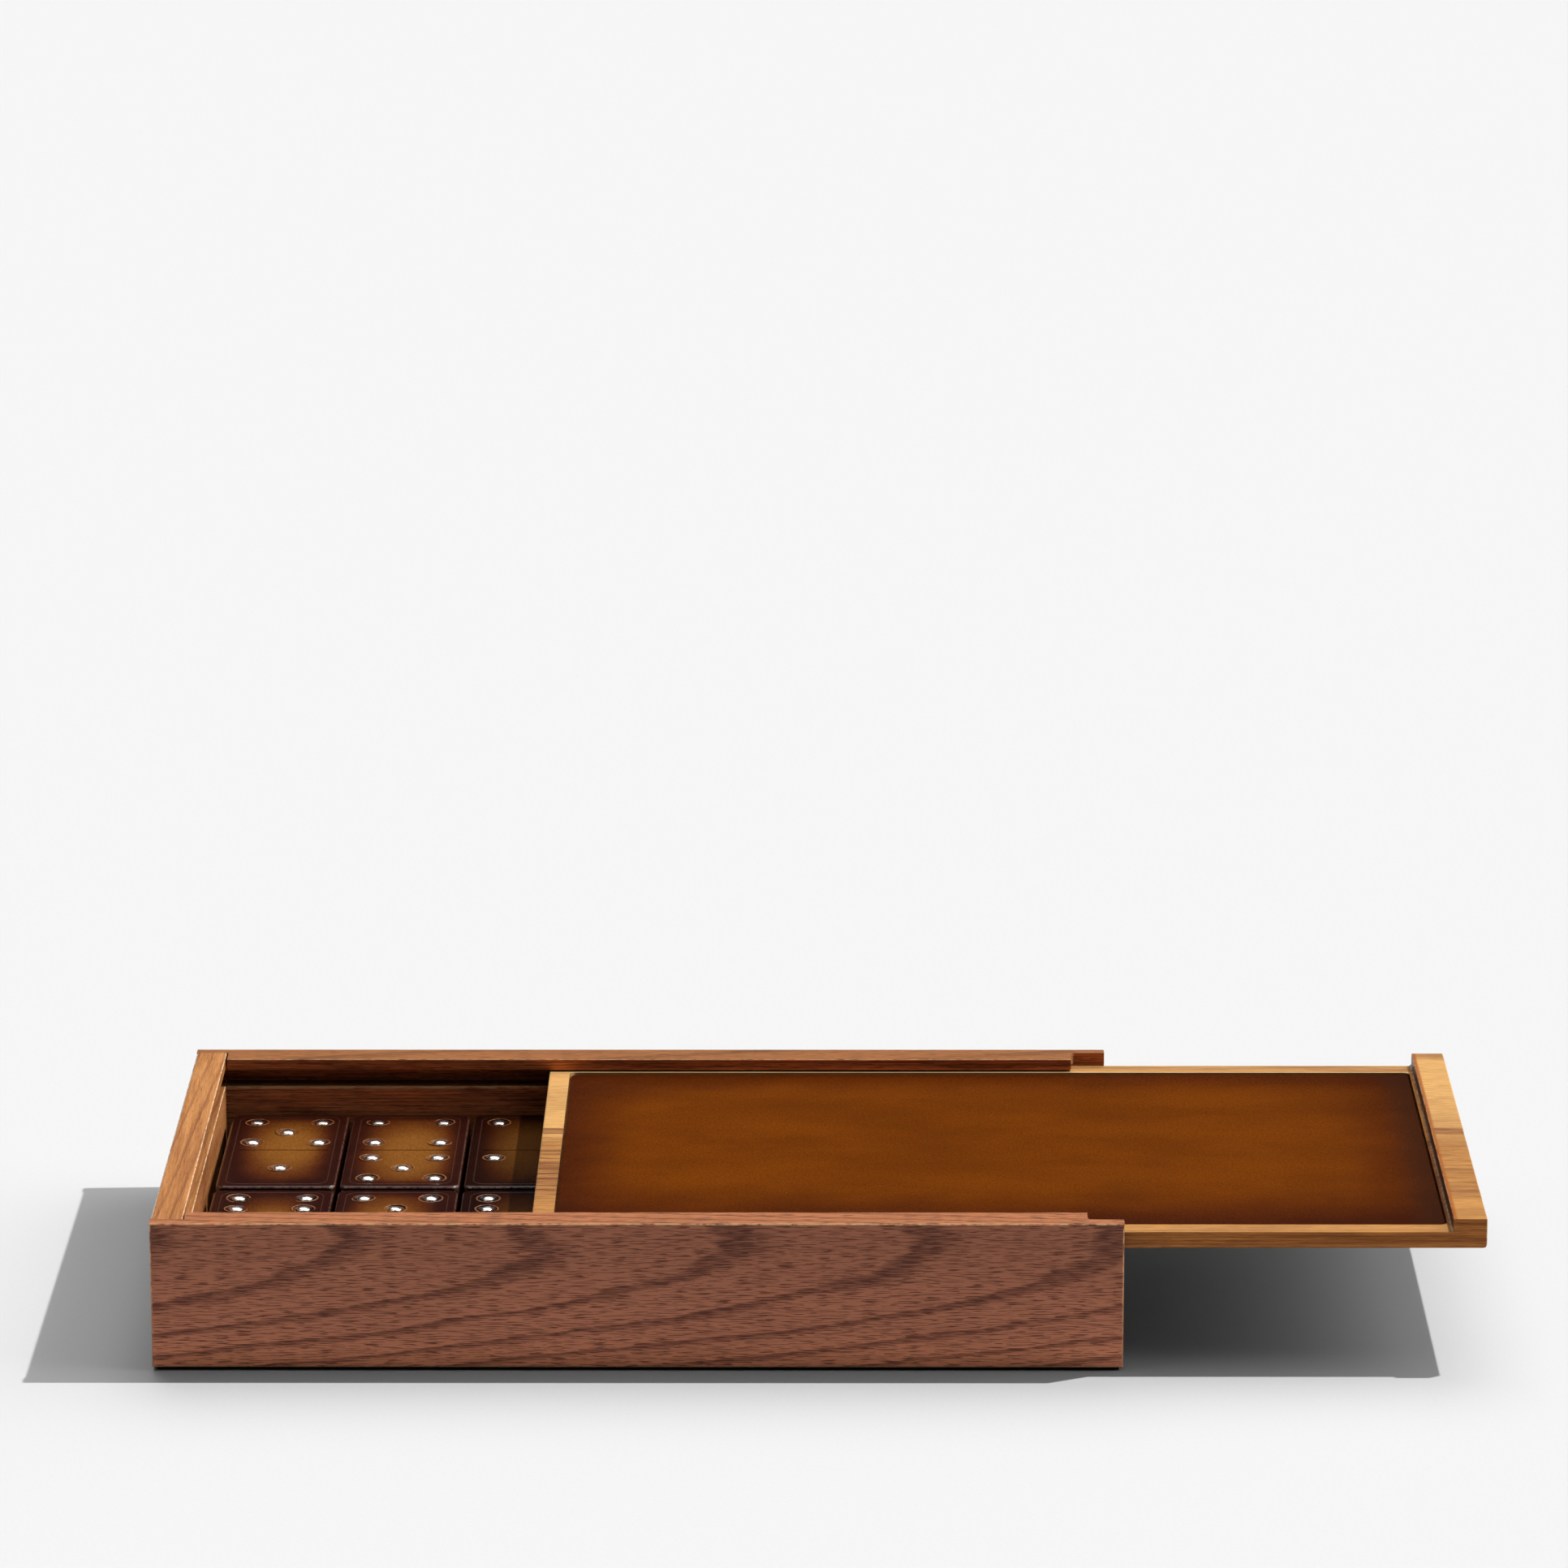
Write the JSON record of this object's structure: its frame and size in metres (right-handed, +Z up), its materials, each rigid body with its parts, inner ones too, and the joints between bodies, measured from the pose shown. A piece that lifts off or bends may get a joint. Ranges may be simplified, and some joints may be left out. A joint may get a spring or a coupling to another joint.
{
  "type": "domino storage box",
  "caption": "Long walnut box with a leather-faced sliding lid and leather dominoes with metal pips lying in rows inside.",
  "frame": {"origin": "centre of the box's footprint on the surface it stands on", "axes": "+X along the box, the way the lid pulls out; -Y is the long front face in the picture; +Z up"},
  "size_m": [0.2691, 0.1194, 0.0313],
  "materials": {
    "walnut_walls": "oiled walnut, long grain along the box",
    "walnut_end": "oiled walnut, lighter, grain across the end",
    "walnut_base": "plain walnut panel",
    "base_sheet": "thin dark sheet, matt",
    "walnut_lid": "oiled pale walnut sapwood with brown streaks",
    "lid_leather": "smooth satin leather with a burnished dark edge",
    "tile_leather": "hand-burnished leather, dark edges and a tan middle",
    "stud_metal": "polished domed metal"
  },
  "bodies": {
    "box": {"front_wall": "walnut_walls", "back_wall": "walnut_walls", "closed_end_wall": "walnut_end", "low_end_wall": "walnut_end", "base_panel": "walnut_base", "base_sheet": "base_sheet", "tile_top_back_3": "tile_leather", "tile_top_back_4": "tile_leather", "tile_top_back_5": "tile_leather", "tile_top_back_6": "tile_leather", "tile_top_back_7": "tile_leather", "tile_top_front_3": "tile_leather", "tile_top_front_4": "tile_leather", "tile_top_front_5": "tile_leather", "tile_top_front_6": "tile_leather", "tile_top_front_7": "tile_leather", "tile_low_back_3": "tile_leather", "tile_low_back_4": "tile_leather", "tile_low_back_5": "tile_leather", "tile_low_back_6": "tile_leather", "tile_low_back_7": "tile_leather", "tile_low_front_3": "tile_leather", "tile_low_front_4": "tile_leather", "tile_low_front_5": "tile_leather", "tile_low_front_6": "tile_leather", "tile_low_front_7": "tile_leather", "studs_under_lid": "stud_metal", "studs_low_layer": "stud_metal"},
    "lid": {"lid_board": "walnut_lid", "lid_leather": "lid_leather"},
    "tile_top_back_1": {"tile_top_back_1": "tile_leather", "studs_top_back_1": "stud_metal"},
    "tile_top_back_2": {"tile_top_back_2": "tile_leather", "studs_top_back_2": "stud_metal"},
    "tile_top_front_1": {"tile_top_front_1": "tile_leather", "studs_top_front_1": "stud_metal"},
    "tile_top_front_2": {"tile_top_front_2": "tile_leather", "studs_top_front_2": "stud_metal"},
    "tile_low_back_1": {"tile_low_back_1": "tile_leather", "studs_low_back_1": "stud_metal"},
    "tile_low_back_2": {"tile_low_back_2": "tile_leather", "studs_low_back_2": "stud_metal"},
    "tile_low_front_1": {"tile_low_front_1": "tile_leather", "studs_low_front_1": "stud_metal"},
    "tile_low_front_2": {"tile_low_front_2": "tile_leather", "studs_low_front_2": "stud_metal"}
  },
  "joints": [
    {"name": "lid_slide", "type": "slide", "parent": "box", "child": "lid", "axis": [1, 0, 0], "range_m": [-0.0731, 0.12]},
    {"name": "lift_low_back_1", "type": "slide", "parent": "box", "child": "tile_low_back_1", "axis": [0, 0, 1], "range_m": [0, 0.031]},
    {"name": "lift_low_back_2", "type": "slide", "parent": "box", "child": "tile_low_back_2", "axis": [0, 0, 1], "range_m": [0, 0.031]},
    {"name": "lift_low_front_1", "type": "slide", "parent": "box", "child": "tile_low_front_1", "axis": [0, 0, 1], "range_m": [0, 0.031]},
    {"name": "lift_low_front_2", "type": "slide", "parent": "box", "child": "tile_low_front_2", "axis": [0, 0, 1], "range_m": [0, 0.031]},
    {"name": "lift_top_back_1", "type": "slide", "parent": "tile_low_back_1", "child": "tile_top_back_1", "axis": [0, 0, 1], "range_m": [0, 0.023]},
    {"name": "lift_top_back_2", "type": "slide", "parent": "tile_low_back_2", "child": "tile_top_back_2", "axis": [0, 0, 1], "range_m": [0, 0.023]},
    {"name": "lift_top_front_1", "type": "slide", "parent": "tile_low_front_1", "child": "tile_top_front_1", "axis": [0, 0, 1], "range_m": [0, 0.023]},
    {"name": "lift_top_front_2", "type": "slide", "parent": "tile_low_front_2", "child": "tile_top_front_2", "axis": [0, 0, 1], "range_m": [0, 0.023]}
  ]
}
